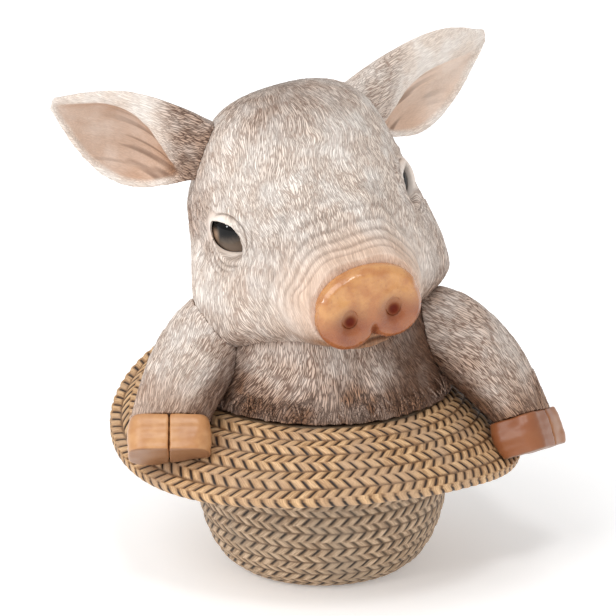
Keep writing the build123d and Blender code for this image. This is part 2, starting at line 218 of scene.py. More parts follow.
def skin(name, nodes, voxel, smoothing=4):
    """A new piece with one even skin over copies of those CAD nodes, which it replaces."""
    points = []
    faces = []
    for node in nodes:
        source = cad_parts[node].data
        start = sum(len(p) for p in points)
        points.append(read_points(source))
        faces += [[start + i for i in face.vertices] for face in source.polygons]
    mesh = bpy.data.meshes.new(name + "_rough")
    mesh.from_pydata((np.concatenate(points) * mm).tolist(), [], faces)
    rough = new_object(name + "_rough", mesh)
    remesh = rough.modifiers.new("remesh", "REMESH")
    remesh.mode = "VOXEL"
    remesh.voxel_size = voxel * mm
    smooth = rough.modifiers.new("smooth", "SMOOTH")
    smooth.factor = 0.5
    smooth.iterations = smoothing
    graph = bpy.context.evaluated_depsgraph_get()
    made = new_object(name, bpy.data.meshes.new_from_object(rough.evaluated_get(graph)))
    made.data.name = name
    bpy.data.objects.remove(rough)
    shade_smooth(made.data)
    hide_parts(*nodes)
    return made


def grid(name, points, closed_down=False):
    """A mesh over rows of points, an array of rows, columns and 3, that closes round its columns
    and, where asked, from its last row to its first."""
    rows, columns = points.shape[:2]
    last = rows if closed_down else rows - 1
    row, column = np.mgrid[0:last, 0:columns]
    below = (row + 1) % rows
    beside = (column + 1) % columns
    corners = (row * columns + column, below * columns + column,
               below * columns + beside, row * columns + beside)
    faces = np.stack(corners, axis=-1).reshape(-1, 4)
    mesh = bpy.data.meshes.new(name)
    mesh.from_pydata((points.reshape(-1, 3) * mm).tolist(), [], faces.tolist())
    shade_smooth(mesh)
    return new_object(name, mesh)


class Graph:
    """A material's nodes, added one by one."""

    def __init__(self, name):
        self.material = bpy.data.materials.new(name)
        self.material.use_nodes = True
        self.tree = self.material.node_tree
        self.shader = self.tree.nodes["Principled BSDF"]

    def put(self, socket, value):
        """Links a socket to another one or gives it a constant."""
        if isinstance(value, bpy.types.NodeSocket):
            self.tree.links.new(value, socket)
        elif isinstance(value, (tuple, list)) and len(value) == 3 and socket.type == "RGBA":
            socket.default_value = (*value, 1)
        else:
            socket.default_value = value

    def node(self, kind, inputs=(), output=0, **settings):
        """Adds a node and gives back one of its outputs."""
        made = self.tree.nodes.new("ShaderNode" + kind)
        for name, value in settings.items():
            setattr(made, name, value)
        for key, value in dict(inputs).items():
            self.put(made.inputs[key], value)
        return made.outputs[output]

    def attribute(self, name, output="Fac"):
        return self.node("Attribute", output=output, attribute_name=name)

    def math(self, operation, *values, clamp=False):
        return self.node("Math", dict(enumerate(values)), operation=operation, use_clamp=clamp)

    def mix(self, share, first, second):
        return self.node("Mix", {0: share, 6: first, 7: second}, 2, data_type="RGBA")

    def scale(self, vector, x, y, z):
        return self.node("Mapping", {"Vector": vector, "Scale": (x, y, z)})

    def ramp(self, value, low, high, start=0.0, end=1.0):
        """value from low to high, turned smoothly to a number from start to end."""
        inputs = {0: value, 1: low, 2: high, 3: start, 4: end}
        return self.node("MapRange", inputs, interpolation_type="SMOOTHSTEP")

    def bump(self, height, strength, depth):
        return self.node("Bump", {"Height": height, "Strength": strength, "Distance": depth * mm})

    def finish(self, **inputs):
        for name, value in inputs.items():
            self.put(self.shader.inputs[name.replace("_", " ")], value)
        return self.material


def srgb(red, green, blue):
    """A colour as it is seen, from 0 to 255, as the linear one that shaders take."""
    return tuple(c / 12.92 if c < 0.04045 else ((c + 0.055) / 1.055) ** 2.4
                 for c in (red / 255, green / 255, blue / 255))


def millimetres(graph):
    """The place on the object in millimetres."""
    place = graph.node("TexCoord", output="Object")
    return graph.scale(place, 1000, 1000, 1000)


def fur_material():
    """Cream painted resin with thin incised strokes, which hold brown antiquing. The same brown also paints
    shade: under and between the parts, on the side away from the key light and in the creases.
    """
    g = Graph("painted_fur")
    place = millimetres(g)
    strokes = g.attribute("strokes", "Vector")
    wash = g.attribute("wash")
    wander = g.node("TexNoise", {"Vector": strokes, "Scale": 0.35, "Detail": 1.0}, "Color")
    shaken = g.node("VectorMath", {0: wander, 1: (1.6, 1.6, 0.5)}, operation="MULTIPLY")
    flowing = g.node("VectorMath", {0: strokes, 1: shaken}, operation="ADD")
    longer = g.scale(flowing, 1, 1, 0.45)
    edge = g.node("TexVoronoi", {"Vector": longer, "Scale": 1.5, "Randomness": 0.95},
                  "Distance", feature="DISTANCE_TO_EDGE")
    hair = g.node("TexNoise", {"Vector": g.scale(flowing, 1, 1, 0.4), "Scale": 0.75, "Detail": 1.0})
    contour = g.math("PINGPONG", g.math("MULTIPLY", hair, 6.0), 0.5)
    broken = g.node("TexNoise", {"Vector": g.scale(flowing, 1, 1, 2.0), "Scale": 0.8, "Detail": 1.0})
    patches = g.node("TexNoise", {"Vector": place, "Scale": 0.085, "Detail": 3.0})
    shown = g.math("SUBTRACT", 1.0, g.attribute("bare"), clamp=True)
    cell_line = g.ramp(edge, 0.02, 0.16, 0.95, 0.0)
    hair_line = g.math("MULTIPLY", g.ramp(contour, 0.02, 0.13, 1.0, 0.0), g.ramp(broken, 0.44, 0.52))
    carved = g.math("MULTIPLY", g.math("MAXIMUM", cell_line, hair_line), shown)
    patchy = g.ramp(patches, 0.3, 0.66, 0.7, 1.0)
    strength = g.math("ADD", g.math("MULTIPLY", wash, 0.45), 0.6)
    inked = g.math("MULTIPLY", g.math("MULTIPLY", carved, strength), patchy, clamp=True)
    pale = g.mix(g.ramp(patches, 0.32, 0.68), srgb(255, 246, 237), srgb(246, 230, 216))
    pink = g.mix(g.attribute("blush"), pale, srgb(228, 188, 158))
    # Browner where the attribute asks: partly brown antiquing, partly painted shade under and between the
    # parts and on the side away from the key light.
    wash_and_shade_amount = g.math("MULTIPLY", g.math("MULTIPLY", wash, patchy), 0.9)
    washed = g.mix(wash_and_shade_amount, pink, srgb(156, 102, 58))
    dark = g.mix(wash, srgb(114, 68, 38), srgb(42, 20, 8))
    lined = g.mix(inked, washed, dark)
    # Dark brown in the creases of the folds, partly antiquing, and painted shade in the gaps between the
    # parts.
    creased = g.math("MULTIPLY", g.attribute("crease"), 0.78, clamp=True)
    colour = g.mix(creased, lined, srgb(92, 60, 40))
    height = g.math("SUBTRACT", 1.0, carved)
    return g.finish(Base_Color=colour, Roughness=0.6, Normal=g.bump(height, 0.8, 0.4))


def straw_material(name, light, middle, dark, dusty):
    """Painted plait: strands with light crests, paler paint that is also a painted highlight, and dark
    slots between them, brown antiquing with painted shade.
    """
    g = Graph(name)
    place = millimetres(g)
    slot = g.attribute("slot")
    crest = g.attribute("crest")
    strand = g.attribute("strand", "Vector")
    fibres = g.node("TexNoise", {"Vector": strand, "Scale": 1.0, "Detail": 3.0, "Roughness": 0.6})
    patches = g.node("TexNoise", {"Vector": place, "Scale": 0.06, "Detail": 2.0})
    grain = g.node("TexNoise", {"Vector": place, "Scale": 1.3, "Detail": 2.0})
    ribs = g.ramp(fibres, 0.3, 0.7, 0.0, 0.4)
    # The crests paler: paint and a painted highlight, strongest on each strand's raised side.
    tone = g.math("ADD", g.math("MULTIPLY", crest, 0.7), ribs)
    lit = g.mix(g.ramp(tone, 0.25, 0.95), middle, light)
    patched = g.mix(g.ramp(patches, 0.42, 0.7, 0.0, 0.75), lit, dusty)
    speckled = g.mix(g.ramp(grain, 0.5, 0.8, 0.0, 0.25), patched, dark)
    # Near-black in the slots: brown antiquing and painted shade, with dark joins between the rows.
    colour = g.mix(slot, speckled, dark)
    normal = g.bump(fibres, 0.5, 0.3)
    return g.finish(Base_Color=colour, Roughness=0.55, Normal=normal)


def snout_material():
    """Lacquered caramel skin, paler towards the top, which is painted light from above, and redder in the
    nostrils, where red paint is darkened by painted shade in the holes and the cleft.
    """
    g = Graph("lacquered_snout")
    place = millimetres(g)
    patches = g.node("TexNoise", {"Vector": place, "Scale": 0.14, "Detail": 3.0})
    pores = g.node("TexNoise", {"Vector": place, "Scale": 0.7, "Detail": 4.0})
    # Painted light: the pad paler towards the top and darker low down.
    skin_with_painted_top_light = g.mix(g.ramp(g.attribute("rise"), 0.1, 0.9), srgb(150, 82, 46), srgb(212, 154, 96))
    patched = g.mix(g.ramp(patches, 0.35, 0.7, 0.0, 0.7), skin_with_painted_top_light, srgb(176, 108, 62))
    worn = g.mix(g.ramp(pores, 0.5, 0.75, 0.0, 0.35), patched, srgb(160, 96, 58))
    # Dark red in the nostrils and the cleft: red paint, and painted shade deep in the holes.
    colour = g.mix(g.attribute("pit"), worn, srgb(98, 32, 14))
    roughness = g.ramp(pores, 0.3, 0.7, 0.2, 0.32)
    coat = g.ramp(g.attribute("pit"), 0.0, 0.8, 0.5, 0.0)
    gloss = g.ramp(g.attribute("pit"), 0.2, 0.9, 0.5, 0.1)
    return g.finish(Base_Color=colour, Roughness=roughness, Normal=g.bump(pores, 0.35, 0.5),
                    Specular_IOR_Level=gloss, Coat_Weight=coat, Coat_Roughness=0.07)


def horn_material():
    """Satin orange horn with faint growth lines round the claw and a browner sole; the claws away from the
    key light are browner, which is painted shade.
    """
    g = Graph("painted_horn")
    place = millimetres(g)
    streaks = g.node("TexNoise", {"Vector": g.scale(place, 0.3, 0.3, 0.9), "Scale": 1.0, "Detail": 3.0})
    patches = g.node("TexNoise", {"Vector": place, "Scale": 0.17, "Detail": 3.0})
    base = g.mix(g.ramp(patches, 0.3, 0.7), srgb(210, 158, 108), srgb(192, 136, 86))
    lined = g.mix(g.ramp(streaks, 0.48, 0.75, 0.0, 0.2), base, srgb(178, 122, 80))
    # Browner with painted shade and in random patches.
    washed = g.mix(g.attribute("wash"), lined, srgb(142, 84, 50))
    colour = g.mix(g.attribute("sole"), washed, srgb(140, 98, 70))
    return g.finish(Base_Color=colour, Roughness=0.36, Normal=g.bump(streaks, 0.25, 0.3),
                    Coat_Weight=0.15, Coat_Roughness=0.3)


def eye_material(name, gloss):
    """Glossy glass-like eye, black over, grey brown under and tan in the left one's corner."""
    g = Graph(name)
    place = millimetres(g)
    across = g.node("SeparateXYZ", {0: place}, 0)
    upward = g.node("SeparateXYZ", {0: place}, 2)
    grain = g.node("TexNoise", {"Vector": place, "Scale": 0.9, "Detail": 2.0})
    level = g.math("SUBTRACT", upward, g.math("MULTIPLY", g.math("ADD", across, 36.0), 0.185))
    level = g.math("ADD", level, g.ramp(across, 0.0, 10.0, 0.0, 5.0))
    share = g.ramp(g.math("ADD", level, g.math("MULTIPLY", grain, 1.5)), 150.0, 156.5)
    iris = g.mix(share, srgb(118, 104, 92), srgb(9, 8, 8))
    outer_side = g.ramp(across, -44.2, -42.2, 1.0, 0.0)
    lower_side = g.ramp(level, 155.0, 158.5, 1.0, 0.0)
    colour = g.mix(g.math("MULTIPLY", outer_side, lower_side), iris, srgb(164, 138, 116))
    roughness = g.ramp(grain, 0.3, 0.7, 0.05, 0.09)
    return g.finish(Base_Color=colour, Roughness=roughness, IOR=1.36, Specular_IOR_Level=gloss)


def felt_material():
    """Brown wool felt."""
    g = Graph("brown_felt")
    place = millimetres(g)
    fibres = g.node("TexNoise", {"Vector": place, "Scale": 1.8, "Detail": 4.0})
    colour = g.mix(g.ramp(fibres, 0.3, 0.7), srgb(70, 54, 44), srgb(104, 84, 68))
    return g.finish(Base_Color=colour, Roughness=0.95, Normal=g.bump(fibres, 0.6, 0.4))


def paint(piece, material):
    """Gives an object that one material."""
    piece.data.materials.clear()
    piece.data.materials.append(material)


def dress(piece, material):
    """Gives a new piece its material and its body."""
    paint(piece, material)
    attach(piece, "root")


def plait(turn, row_place, radii, lower_slots=1.0):
    """Height, slots, crests and strand coordinates of a herringbone plait: the slots' dark is brown
    antiquing with painted shade, the crests' pale tone also a painted highlight. turn is the angle round
    the hat, row_place the place across the rows, and radii the radius of each row."""
    row = np.clip(np.floor(row_place), 0, len(radii) - 1).astype(int)
    across = row_place - row
    counts = np.round(2 * pi * np.asarray(radii) / strand_pitch)[row]
    shift = hashed(5, row)
    u = turn / (2 * pi) * counts + shift
    outer = across > 0.5
    from_middle = (across - np.where(outer, 0.75, 0.25)) * 4
    lean = np.where(outer, -0.34, 0.34)
    place = u + lean * from_middle + 0.5 * outer
    strand = np.floor(place)
    part = place - strand
    from_groove = np.minimum(part, 1 - part) * strand_pitch * 0.72
    open_share = 0.6 + 0.4 * hashed(9, np.mod(strand, counts), row * 2 + outer)
    groove = bell(from_groove, 0.5)
    middle = 1 - step(0.62, 1.0, np.abs(from_middle))
    # Slots: antiquing and painted shade, near-black in the gaps.
    slot = 1.7 * groove * middle * open_share * np.where(outer, 1.0, lower_slots)
    border = bell(np.minimum(across, 1 - across) * row_width, 0.34)
    body = 1 - (1 - np.minimum(from_groove / 1.9, 1)) ** 2
    tilt = np.where(outer, part, 1 - part)
    height = (0.6 + 0.4 * tilt) * body * (1 - 0.6 * border)
    own = 0.7 + 0.3 * hashed(13, np.mod(strand, counts), row * 2 + outer)
    # Crests: paler paint and a painted highlight, stronger on the raised side of each strand.
    crest = body * (1 - border) * (0.5 + 0.5 * tilt) * own
    fibre = np.stack([place * strand_pitch * 1.6, from_middle * 0.5 + strand * 3.7, row * 7.0], axis=-1)
    return height, np.clip(slot + 0.45 * border, 0, 1), crest, fibre


def edge_drop(turn):
    """How far the brim's edge lies under the opening, as in part.py."""
    tilt = 4.4 * np.cos(turn) - 10.7 * np.sin(turn)
    wave = 6.3 * np.cos(2 * turn) + 4.0 * np.sin(2 * turn)
    from_dip = np.abs((np.degrees(turn) + 6 + 180) % 360 - 180)
    dip = 3.0 * np.cos(pi / 2 * np.minimum(from_dip / 42, 1)) ** 2
    return 15.8 + tilt + wave + dip


def brim_surface(turn, share):
    """Radius and height on the bowed line from the brim's root to its edge."""
    reach = brim_radius - 2.7 * np.cos(turn)
    radius = crown_radius + 0.25 + share * (reach - crown_radius - 0.25)
    height = opening_level - edge_drop(turn) * share + 4 * brim_bow * share * (1 - share)
    return radius, height


def make_brim():
    """The brim's plait on top, round its rim and underneath."""
    columns = 1500
    top_rows = 116
    rim_rows = 10
    under_rows = 40
    turn = np.linspace(-pi, pi, columns, endpoint=False)[None, :]
    share = np.concatenate([np.linspace(0, 1, top_rows), np.ones(rim_rows), np.linspace(1, 0, under_rows)])
    top_place = np.linspace(0, brim_rows - 0.45, top_rows)
    rim_place = np.linspace(brim_rows - 0.45, brim_rows - 0.02, rim_rows)
    row_place = np.concatenate([top_place, rim_place, np.linspace(brim_rows - 0.02, 0, under_rows)])
    share = share[:, None] + 0 * turn
    row_place = row_place[:, None] + 0 * turn
    turn = turn + 0 * share
    side = np.concatenate([np.ones(top_rows), np.linspace(1, -1, rim_rows + 2)[1:-1], -np.ones(under_rows)])
    side = side[:, None] + 0 * share
    edge_share = 1 - 1.6 / (brim_radius - crown_radius)
    radius, height = brim_surface(turn, share * edge_share)
    further, lower = brim_surface(turn, share * edge_share + 0.01)
    slope = unit(np.stack([further - radius, lower - height], axis=-1))
    normal = np.stack([-slope[..., 1], slope[..., 0]], axis=-1)
    radii = crown_radius + (np.arange(brim_rows) + 0.5) * (brim_radius - crown_radius) / brim_rows
    high, slot, crest, fibre = plait(turn.ravel(), row_place.ravel(), radii)
    across = row_place % 1
    ridge = 1 - np.abs(2 * across - 1) ** 2.2
    half = brim_thickness / 2
    high = high.reshape(share.shape)
    raised = brim_row_bulge * ridge * 0.75 + 0.95 * high - 0.4
    out = half * side + raised * np.sign(side)
    round_rim = np.abs(side) < 1
    angle = np.clip(side, -1, 1) * pi / 2
    bulge = 0.4 * high
    out = np.where(round_rim, (half + bulge - 0.3) * np.sin(angle), out)
    beyond = np.where(round_rim, (1.4 + bulge) * np.cos(angle), 0)
    place_r = radius + normal[..., 0] * (out - half) + slope[..., 0] * beyond
    place_z = height + normal[..., 1] * (out - half) + slope[..., 1] * beyond
    points = np.stack([place_r * np.cos(turn), place_r * np.sin(turn), place_z], axis=-1)
    made = grid("straw_brim", points, closed_down=True)
    store(made.data, slot=slot, crest=crest, strand=fibre)
    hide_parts("hat_brim")
    return made


def make_crown():
    """The crown's plait outside and its plain wall inside."""
    columns = 960
    turn = np.linspace(-pi, pi, columns, endpoint=False)[None, :]
    curve = np.linspace(0, pi / 2, 96)
    side_level = felt_level + crown_round_height
    profile_r = list(base_radius + (crown_radius - base_radius) * np.sin(curve))
    profile_z = list(side_level - crown_round_height * np.cos(curve))
    lengths = np.concatenate([[0], np.cumsum(np.hypot(np.diff(profile_r), np.diff(profile_z)))])
    rows_at = list(lengths / lengths[-1] * crown_rows)
    straight = np.linspace(0, 1, 56)[1:]
    profile_r += [crown_radius] * len(straight)
    profile_z += list(side_level + straight * (opening_level - 5 - side_level))
    rows_at += list(crown_rows + straight * 4)
    outside = len(profile_r)
    inner = crown_radius - crown_wall
    profile_r += [crown_radius, inner, inner, base_radius, 0.01]
    bottom = felt_level + crown_wall
    profile_z += [opening_level, opening_level, side_level, bottom, bottom]
    profile_r = [0.01, 0.5 * base_radius] + profile_r
    profile_z = [felt_level, felt_level] + profile_z
    radius = np.array(profile_r)[:, None] + 0 * turn
    height = np.array(profile_z)[:, None] + 0 * turn
    turn = turn + 0 * radius
    carved = np.zeros_like(radius, dtype=bool)
    carved[2:2 + outside] = True
    row_place = np.zeros_like(radius)
    row_place[2:2 + outside] = np.array(rows_at)[:, None]
    radii = np.interp(np.arange(crown_rows + 4) + 0.5, rows_at, profile_r[2:2 + outside])
    high, slot, crest, fibre = plait(turn.ravel(), row_place.ravel(), radii, 0.75)
    high = high.reshape(radius.shape)
    across = row_place % 1
    ridge = 1 - np.abs(2 * across - 1) ** 2.2
    normal_r = np.where(height < side_level, radius - base_radius, 1.0) / (crown_radius - base_radius) ** 2
    normal_z = np.where(height < side_level, height - side_level, 0.0) / crown_round_height ** 2
    size = np.hypot(normal_r, normal_z) + 1e-12
    fade = carved * step(0, 0.4, row_place) * (1 - step(crown_rows + 3.6, crown_rows + 4, row_place))
    out = fade * (0.6 * ridge + 0.65 * high - 0.3)
    place_r = radius + out * normal_r / size
    place_z = height + out * normal_z / size
    points = np.stack([place_r * np.cos(turn), place_r * np.sin(turn), place_z], axis=-1)
    made = grid("straw_crown", points)
    hidden = 1 - fade.ravel()
    slot = np.maximum(slot * (1 - hidden), 0.25 * hidden)
    store(made.data, slot=slot, crest=crest * (1 - hidden), strand=fibre)
    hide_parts("hat_crown")
    return made


def make_head():
    """The head, with its folds, lids and fur."""
    made = skin("pig_head", ["head"], 0.42)
    mesh = made.data
    points = read_points(mesh)
    normals = read_points(mesh, "normal")
    side, front, up = in_head(points)
    from_crown = unit(points - head_centre - from_head(0, -4, -6))
    crown_axis = unit(from_head(0, -0.3, 0.95))
    forward = unit(from_head(0, 0.95, 0.3))
    aside = np.cross(crown_axis, forward)
    polar = np.arccos(np.clip(from_crown @ crown_axis, -1, 1))
    swirl = 0.12 * noise(points, 22, 3) + 0.05 * noise(points, 9, 4)
    turn = np.arctan2(from_crown @ aside, from_crown @ forward) + swirl
    along = polar * 52
    fur_radius = 48
    eye_left = distance(side + eye_aside, front - eye_forward, up + eye_down)
    eye_right = distance(side - eye_aside, front - eye_forward, up + eye_down)
    eye = np.minimum(eye_left, eye_right)
    snout_out = np.hypot(side / snout_half_width, (up + snout_down) / snout_half_height)
    muzzle = step(14, 34, front) * (1 - step(1.2, 2.0, snout_out))
    lids = 1 - step(13.2, 15.5, eye)
    bare = np.maximum(lids, 0.6 * muzzle)
    tuft = relief(turn, along, fur_radius, 1.5, 6.0, 11)
    wide = relief(turn, along, fur_radius, 4.0, 12.0, 12)
    shift = (tuft - 0.6) * 0.3 + (wide - 0.6) * 0.4
    shift = shift * (1 - bare) + 0.35
    crease = np.zeros(len(points))
    lumps = noise(points, 10, 8)

    def fold(from_line, depth, width, where=1.0):
        """Carves a fold along a line and keeps its place, where the material darkens it with brown
        antiquing and painted shade.
        """
        nonlocal shift, crease
        share = bell(from_line, width) * where
        shift = shift - depth * share
        crease = np.maximum(crease, share * min(depth / 1.4, 1))

    def mound(from_line, rise, width, where=1.0):
        """Raises a soft ridge along a line, or hollows one."""
        nonlocal shift
        shift = shift + rise * bell(from_line, width) * where

    # The hollow temple behind the left eye.
    from_hollow = distance((side + 51) / 12, (front + 12) / 17, (up + 11) / 13)
    shift -= 5.6 * bell(from_hollow, 1.0)

    # The lids, in the plane of each eye's opening.
    outward = radians(43)
    slant = radians(41)
    for which in (-1, 1):
        facing = np.array((which * sin(outward), cos(outward), 0))
        to_snout = np.array((-which * cos(outward), sin(outward), 0))
        long_way = to_snout * cos(slant) - np.array((0, 0, sin(slant)))
        high_way = unit(np.array((0, 0, 1)) + long_way * sin(slant))
        offset = np.stack([side - which * eye_aside, front - eye_forward, up + eye_down], axis=-1)
        x = offset @ long_way
        y = offset @ high_way
        near = step(0, 4, offset @ facing) * (1 - step(21, 25, np.linalg.norm(offset, axis=-1)))
        reach = np.minimum(np.abs(x), slit_half_length)
        half_open = np.sqrt(np.maximum(slit_round ** 2 - reach ** 2, 0)) - slit_centre
        past_end = np.maximum(np.abs(x) - slit_half_length, 0)
        beyond = np.hypot(np.maximum(np.abs(y) - half_open, 0), past_end)
        over = near * step(-1.5, 1.5, y)
        under = near * step(1.5, -1.5, y)
        mound(beyond - 1.3, 0.55, 1.1, near)
        fold(beyond - 3.7, 1.0, 0.6, over * (1 - step(9, 13, np.abs(x))))
        mound(beyond - 5.5, 0.5, 1.4, over)
        fold(beyond - 8.0 + lumps, 0.45, 0.7, over * step(-12, -2, x))
        for place, depth in ((2.9, 0.8), (5.4, 0.7), (8.2, 0.7), (11.2, 0.5)):
            fold(beyond - place + 0.5 * lumps, depth, 0.55, under * (1 - step(8, 14, np.abs(x + 1))))

    # The muzzle, with a valley behind it, rings over its bridge and cheeks that bulge past it.
    around = step(0.9, 1.15, snout_out)
    low_end = 1 - step(38, 50, -up)
    flank = step(14, 24, np.abs(side)) * low_end
    valley = front - 31.0 - 0.1 * np.maximum(-up, 0) + 1.2 * lumps
    mound(valley, -1.7, 2.6, flank)
    mound(valley + 7, 1.0, 4.0, flank)
    mound(valley - 5, 0.6, 3.0, flank)
    rings = ((31.5, 0.22), (35.0, 0.38), (38.2, 0.5), (41.2, 0.6), (44.2, 0.62), (47.2, 0.5))
    for place, depth in rings:
        ring = front - place + 0.7 * lumps + 0.0035 * (side + 2) ** 2
        fold(ring, depth, 0.6, around * low_end * step(-30, -12, up + 8 * (np.abs(side) < 40)))
    mouth = up + 46.5 + 0.012 * side ** 2
    fold(mouth, 1.2, 0.8, step(34, 42, front))
    points = points + normals * shift[:, None]
    write_points(mesh, points)
    flow = strokes_round(turn, along, fur_radius)
    chin = step(34, 42, front) * step(38, 44, -up)
    temple = step(30, 50, -side) * step(14, -14, front) * step(-20, 0, up)
    # Darker low on the head and under the snout, painted shade; darker on the right side, painted shade
    # away from the key light; darker at the top, at the left temple and in random patches.
    wash = 0.1 * step(0.1, 0.8, noise(points, 25, 21)) + 0.5 * step(26, 50, -up)
    wash += 0.3 * step(30, 46, up) + 0.6 * chin + 0.6 * temple + 0.2 * step(25, 45, side)
    blush = 0.5 * bell(distance(side + 30, front - 14, up + 24), 13)
    blush = np.maximum(blush, 0.6 * muzzle * step(24, 50, front))
    blush = np.maximum(blush, step(38, 46, front) * step(38, 44, -up))
    # Painted shade under the jowl, where it meets the leg.
    crease = np.maximum(crease, 0.7 * step(46, 58, -up) * step(36, 24, front))
    store(mesh, strokes=flow, bare=bare, wash=np.clip(wash, 0, 1), blush=blush, crease=crease)
    dress(made, fur)


def make_trunk():
    """The chest and neck, whose strokes fan out from under the chin."""
    made = skin("pig_chest", ["trunk"], 0.7)
    mesh = made.data
    points = read_points(mesh)
    normals = read_points(mesh, "normal")
    fur_radius = 50
    along = opening_level + trunk_height - points[:, 2]
    turn = np.arctan2(points[:, 1], points[:, 0])
    turn = turn + (0.45 - 0.85 * step(5, 60, along)) * np.cos(turn) + 0.12 * noise(points, 20, 31)
    tuft = relief(turn, along, fur_radius, 1.8, 8.0, 32)
    wide = relief(turn, along, fur_radius, 5.0, 15.0, 33)
    shown = step(0, 3, points[:, 2] - opening_level + 8)
    shift = ((tuft - 0.7) * 0.4 + (wide - 0.7) * 0.8 + 0.4) * shown
    write_points(mesh, points + normals * shift[:, None])
    flow = strokes_round(turn, along, fur_radius)
    # Brown all over and darker towards the bottom, partly antiquing and partly painted shade under the
    # head; painted shade beside the legs.
    wash = 0.58 + 0.42 * step(34, 54, along) + 0.25 * noise(points, 14, 34)
    beside = step(22, 42, np.abs(points[:, 0] + 3))
    wash += 0.45 * beside
    # Painted shade in the gaps beside the legs and low down, where the chest meets the brim.
    crease = np.maximum(0.9 * beside, 0.5 * step(46, 60, along))
    store(mesh, strokes=flow, bare=0 * turn, wash=np.clip(wash, 0, 1), blush=0 * turn, crease=crease)
    dress(made, fur)


def make_leg(side, name, shoulder, coronet):
    """A foreleg, whose fur flows from its shoulder to its coronet."""
    made = skin("pig_" + name, [name], 0.5)
    mesh = made.data
    points = read_points(mesh)
    normals = read_points(mesh, "normal")
    start = np.array(shoulder)
    run = np.array(coronet) - start
    length = np.linalg.norm(run)
    way = run / length
    first = unit(np.cross(way, (0, 1, 0)))
    second = np.cross(way, first)
    fur_radius = 17
    along = (points - start) @ way
    bow = 5 * np.sin(np.clip(along / length, 0, 1) * pi)
    middle = start + np.outer(along, way) + np.outer(bow, (side * 0.4, 0, 0.9))
    offset = points - middle
    turn = np.arctan2(offset @ second, offset @ first) + 0.15 * noise(points, 18, 41)
    tuft = relief(turn, along, fur_radius, 1.5, 8.0, 42)
    wide = relief(turn, along, fur_radius, 4.0, 14.0, 43)
    shift = (tuft - 0.65) * 0.35 + (wide - 0.65) * 0.6 + 0.35
    write_points(mesh, points + normals * shift[:, None])
    flow = strokes_round(turn, along, fur_radius, 5)
    near_hoof = step(length - 14, length, along)
    # The right leg browner all over: painted shade, away from the key light.
    base = 0.1 if side < 0 else 0.45
    # Painted shade on the side that faces the head and the chest.
    inner = step(1, -11, side * offset[:, 0] + 0.6 * offset[:, 2])
    wash = base + 0.3 * near_hoof + 0.2 * step(0.2, 0.8, noise(points, 12, 44)) + 0.6 * inner
    store(mesh, strokes=flow, bare=0 * turn, wash=np.clip(wash, 0, 1), blush=0.5 * near_hoof,
          crease=0.6 * inner)
    dress(made, fur)


def make_ear(side, name, direction):
    """An ear, smooth in its hollow and with faint fur on its back."""
    made = skin("pig_" + name, [name], 0.4)
    mesh = made.data
    points = read_points(mesh)
    normals = read_points(mesh, "normal")
    root = head_centre + from_head(side * 0.6 * 55.5, -0.27 * 53, 0.5 * 48)
    along_way = unit(from_head(*direction))
    facing = unit(from_head(side * 0.4, 0.85, -0.1))
    across_way = unit(np.cross(facing, along_way))
    facing = np.cross(along_way, across_way)
    along = (points - root) @ along_way
    across = (points - root) @ across_way
    level = (points - root) @ facing
    inside = step(0.0, 0.4, normals @ facing) * step(-0.6, -2.6, level)
    grooves = noise(np.stack([across, along / 9, 0 * along], axis=-1), 1.6, 51)
    bands = noise(np.stack([across, along / 14, 0 * along], axis=-1), 4.5, 52)
    shift = 0.2 * grooves + 0.5 * bands * inside
    write_points(mesh, points + normals * shift[:, None])
    flow = np.stack([across, 0.8 * level, along / stroke_stretch], axis=-1)
    root_fur = step(27, 12, along - 0.5 * across * side)
    strong = 0.75 if side < 0 else 0.2
    tint = 0.35 if side < 0 else 0.05
    wash = inside * (tint + 0.2 * step(60, 15, along)) + strong * root_fur
    # Painted shade in the hollow near the fold.
    wash += 0.35 * inside * step(-5, 7, across * side)
    bare = np.clip(0.5 + 0.35 * inside - 0.5 * root_fur, 0, 1)
    blush = inside * (0.35 + 0.3 * step(45, 15, along))
    # Dark brown in the hollow's grooves: antiquing and painted shade.
    crease = 0.8 * inside * step(0.3, 0.8, grooves) * step(56, 20, along)
    store(mesh, strokes=flow, bare=bare, wash=np.clip(wash, 0, 1), blush=blush, crease=crease)
    dress(made, fur)


